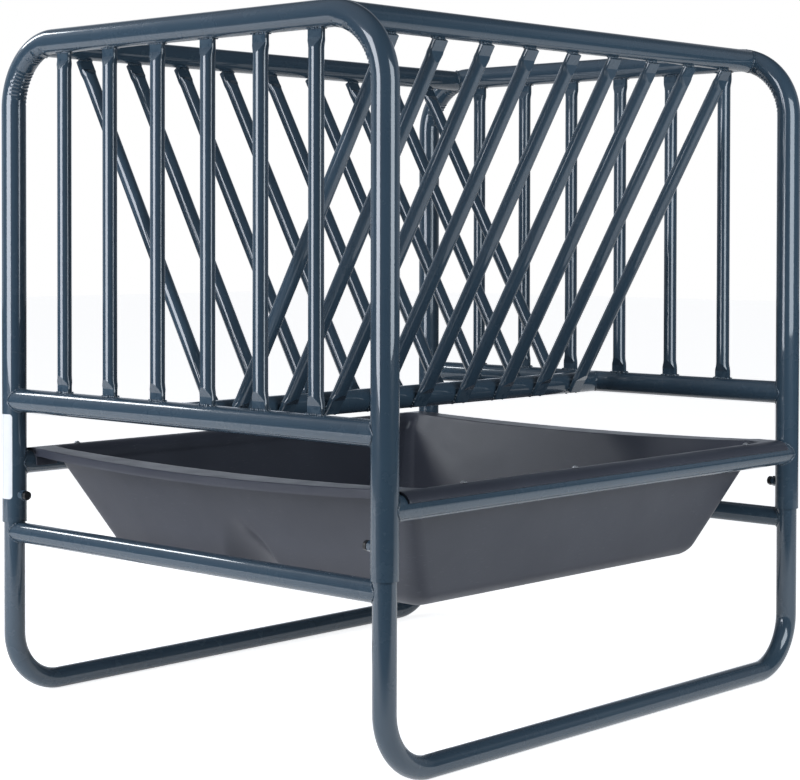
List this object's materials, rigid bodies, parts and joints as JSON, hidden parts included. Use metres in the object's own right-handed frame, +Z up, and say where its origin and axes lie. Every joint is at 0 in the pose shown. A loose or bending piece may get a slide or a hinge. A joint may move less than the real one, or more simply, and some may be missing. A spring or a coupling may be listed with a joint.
{
  "type": "livestock hay feeder with trough",
  "caption": "Free-standing livestock hay feeder: V-shaped bar rack over a hooked-in trough, in a bent tube frame that slides on two skids and is held by set bolts.",
  "frame": {"origin": "on the floor, under the middle of the bounding box", "axes": "+Z up; X runs along the skids and the V rail, Y across the two hoops; -X is hoop a and -Y is the near side"},
  "size_m": [1.1806, 0.9796, 1.215],
  "materials": {
    "steel_paint": "glossy powder coat on steel tube",
    "bolt_steel": "black oxide",
    "screw_zinc": "zinc plated",
    "trough_plastic": "satin moulded polyethylene"
  },
  "bodies": {
    "base": {"skid_near": "steel_paint", "skid_far": "steel_paint", "tie_rail_a": "steel_paint", "tie_rail_b": "steel_paint"},
    "frame": {"hoop_a": "steel_paint", "cross_rail_a": "steel_paint", "hoop_b": "steel_paint", "cross_rail_b": "steel_paint", "top_rail_near": "steel_paint", "trough_rail_near": "steel_paint", "top_rail_far": "steel_paint", "trough_rail_far": "steel_paint", "v_rail": "steel_paint", "end_bar_a1": "steel_paint", "end_bar_a2": "steel_paint", "end_bar_a3": "steel_paint", "end_bar_a4": "steel_paint", "end_bar_a5": "steel_paint", "end_bar_a6": "steel_paint", "end_bar_b1": "steel_paint", "end_bar_b2": "steel_paint", "end_bar_b3": "steel_paint", "end_bar_b4": "steel_paint", "end_bar_b5": "steel_paint", "end_bar_b6": "steel_paint", "rack_bar_near1": "steel_paint", "rack_bar_near2": "steel_paint", "rack_bar_near3": "steel_paint", "rack_bar_near4": "steel_paint", "rack_bar_near5": "steel_paint", "rack_bar_near6": "steel_paint", "rack_bar_near7": "steel_paint", "rack_bar_near8": "steel_paint", "rack_bar_near9": "steel_paint", "rack_bar_far1": "steel_paint", "rack_bar_far2": "steel_paint", "rack_bar_far3": "steel_paint", "rack_bar_far4": "steel_paint", "rack_bar_far5": "steel_paint", "rack_bar_far6": "steel_paint", "rack_bar_far7": "steel_paint", "rack_bar_far8": "steel_paint", "rack_bar_far9": "steel_paint", "weld_nut_a_near": "steel_paint", "weld_nut_a_far": "steel_paint", "weld_nut_b_near": "steel_paint", "weld_nut_b_far": "steel_paint", "trough": "trough_plastic", "trough_screw_near1": "screw_zinc", "trough_screw_near2": "screw_zinc", "trough_screw_near3": "screw_zinc", "trough_screw_far1": "screw_zinc", "trough_screw_far2": "screw_zinc", "trough_screw_far3": "screw_zinc"},
    "set_bolt_a_near": {"set_bolt_a_near": "bolt_steel"},
    "set_bolt_a_far": {"set_bolt_a_far": "bolt_steel"},
    "set_bolt_b_near": {"set_bolt_b_near": "bolt_steel"},
    "set_bolt_b_far": {"set_bolt_b_far": "bolt_steel"}
  },
  "joints": [
    {"name": "height_slide", "type": "slide", "parent": "base", "child": "frame", "axis": [0, 0, 1], "range_m": [0, 0.1]},
    {"name": "set_bolt_a_near_turn", "type": "hinge", "parent": "frame", "child": "set_bolt_a_near", "pos_m": [-0.568, -0.435, 0.372], "axis": [0, 1, 0], "range_deg": [0, 1080]},
    {"name": "set_bolt_a_far_turn", "type": "hinge", "parent": "frame", "child": "set_bolt_a_far", "pos_m": [-0.568, 0.435, 0.372], "axis": [0, -1, 0], "range_deg": [0, 1080]},
    {"name": "set_bolt_b_near_turn", "type": "hinge", "parent": "frame", "child": "set_bolt_b_near", "pos_m": [0.568, -0.435, 0.372], "axis": [0, 1, 0], "range_deg": [0, 1080]},
    {"name": "set_bolt_b_far_turn", "type": "hinge", "parent": "frame", "child": "set_bolt_b_far", "pos_m": [0.568, 0.435, 0.372], "axis": [0, -1, 0], "range_deg": [0, 1080]}
  ]
}
